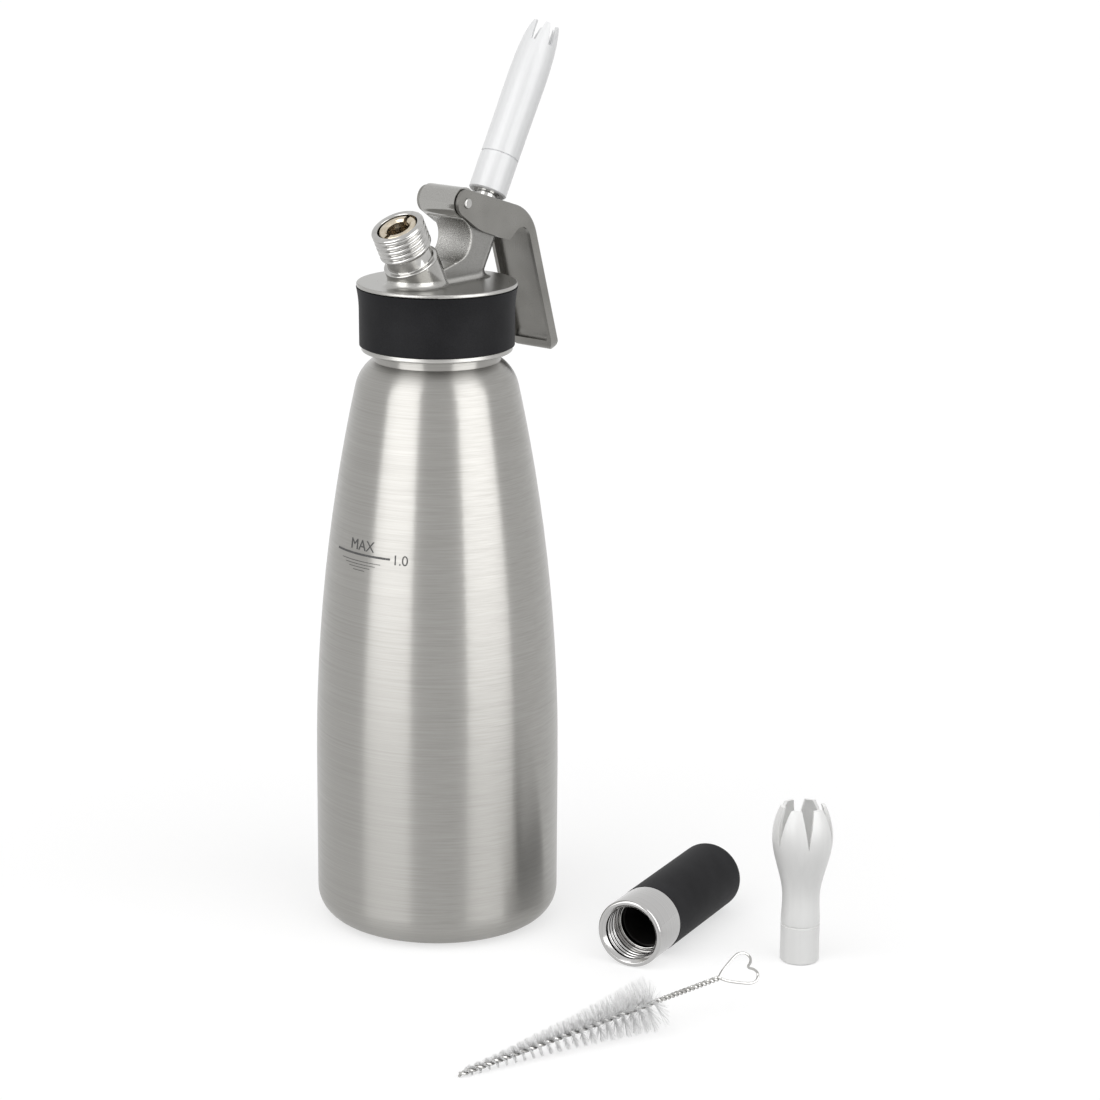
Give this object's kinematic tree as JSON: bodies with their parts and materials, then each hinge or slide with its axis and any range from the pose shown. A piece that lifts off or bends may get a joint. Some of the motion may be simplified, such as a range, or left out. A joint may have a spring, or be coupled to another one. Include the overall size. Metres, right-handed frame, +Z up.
{
  "type": "whipped cream dispenser",
  "caption": "Steel cream dispenser with a screw-on head, squeeze lever valve, gas charger inlet and holder, straight and tulip tips and a cleaning brush.",
  "frame": {"origin": "centre of the bottle's flat base, on the surface it stands on", "axes": "+Z up the bottle's axis, +X towards the lever and spout, -X towards the charger inlet"},
  "size_m": [0.1999, 0.2058, 0.3489],
  "materials": {
    "steel_brushed": "brushed round the axis, satin",
    "steel_satin": "bead blasted and tumbled, satin",
    "steel_lever": "fine satin",
    "steel_polished": "polished",
    "spring_steel": "drawn wire",
    "brass": "turned",
    "silicone_black": "matt",
    "liner_black": "matt",
    "seal_rubber": "matt",
    "plastic_pearl": "pearly moulded",
    "plastic_white": "moulded, slightly translucent",
    "bristle_nylon": "translucent nylon"
  },
  "bodies": {
    "bottle": {"bottle": "steel_brushed"},
    "head_gasket": {"head_gasket": "seal_rubber"},
    "head": {"head_casting": "steel_satin", "grip_band": "silicone_black", "charger_stud": "steel_satin", "check_seal": "seal_rubber", "piercing_insert": "brass", "piercing_needle": "steel_satin", "valve_bush": "brass", "stem_o_ring": "seal_rubber", "hinge_pin": "steel_polished", "valve_spring": "spring_steel"},
    "lever": {"lever": "steel_lever"},
    "valve_stem": {"valve_stem": "steel_satin", "poppet_seal": "seal_rubber"},
    "nozzle_seal": {"nozzle_seal": "seal_rubber"},
    "nozzle": {"straight_nozzle": "plastic_pearl", "nozzle_bush": "steel_polished"},
    "charger_holder": {"holder_sleeve": "steel_polished", "holder_ring": "steel_polished", "holder_liner": "liner_black", "holder_grip": "silicone_black"},
    "tulip_tip": {"tulip_tip": "plastic_white", "tulip_bush": "steel_polished", "tulip_seal": "seal_rubber"},
    "cleaning_brush": {"brush_wire": "spring_steel", "brush_bristles": "bristle_nylon"}
  },
  "joints": [
    {"name": "head_lift", "type": "slide", "parent": "bottle", "child": "head_gasket", "axis": [0, 0, 1], "range_m": [0, 0.0091]},
    {"name": "head_turn", "type": "hinge", "parent": "head_gasket", "child": "head", "pos_m": [0, 0, 0.249], "axis": [0, 0, 1], "range_deg": [0, 1080]},
    {"name": "lever_squeeze", "type": "hinge", "parent": "head", "child": "lever", "pos_m": [0.0056, 0, 0.2842], "axis": [0, 1, 0], "range_deg": [0, 11], "stiffness_Nm_per_rad": 0.8, "springref_deg": -20.05},
    {"name": "valve_press", "type": "slide", "parent": "head", "child": "valve_stem", "axis": [-0.4848, 0, -0.8746], "range_m": [0, 0.0033], "deforming": ["valve_spring"]},
    {"name": "nozzle_advance", "type": "slide", "parent": "valve_stem", "child": "nozzle_seal", "axis": [0.4848, 0, 0.8746], "range_m": [0, 0.0076]},
    {"name": "nozzle_turn", "type": "hinge", "parent": "nozzle_seal", "child": "nozzle", "pos_m": [0.03123, 0, 0.28898], "axis": [0.4848, 0, 0.8746], "range_deg": [0, 1800]},
    {"name": "charger_holder_lift", "type": "slide", "parent": "bottle", "child": "charger_holder", "axis": [0, 0, 1], "range_m": [0, 0.15]},
    {"name": "tulip_tip_lift", "type": "slide", "parent": "bottle", "child": "tulip_tip", "axis": [0, 0, 1], "range_m": [0, 0.15]},
    {"name": "cleaning_brush_lift", "type": "slide", "parent": "bottle", "child": "cleaning_brush", "axis": [0, 0, 1], "range_m": [0, 0.15]}
  ],
  "couplings": [
    {"joint": "head_lift", "follows": "head_turn", "m_per_rad": 0.00047746},
    {"joint": "valve_press", "follows": "lever_squeeze", "m_per_rad": 0.017},
    {"joint": "nozzle_advance", "follows": "nozzle_turn", "m_per_rad": 0.00023873}
  ]
}
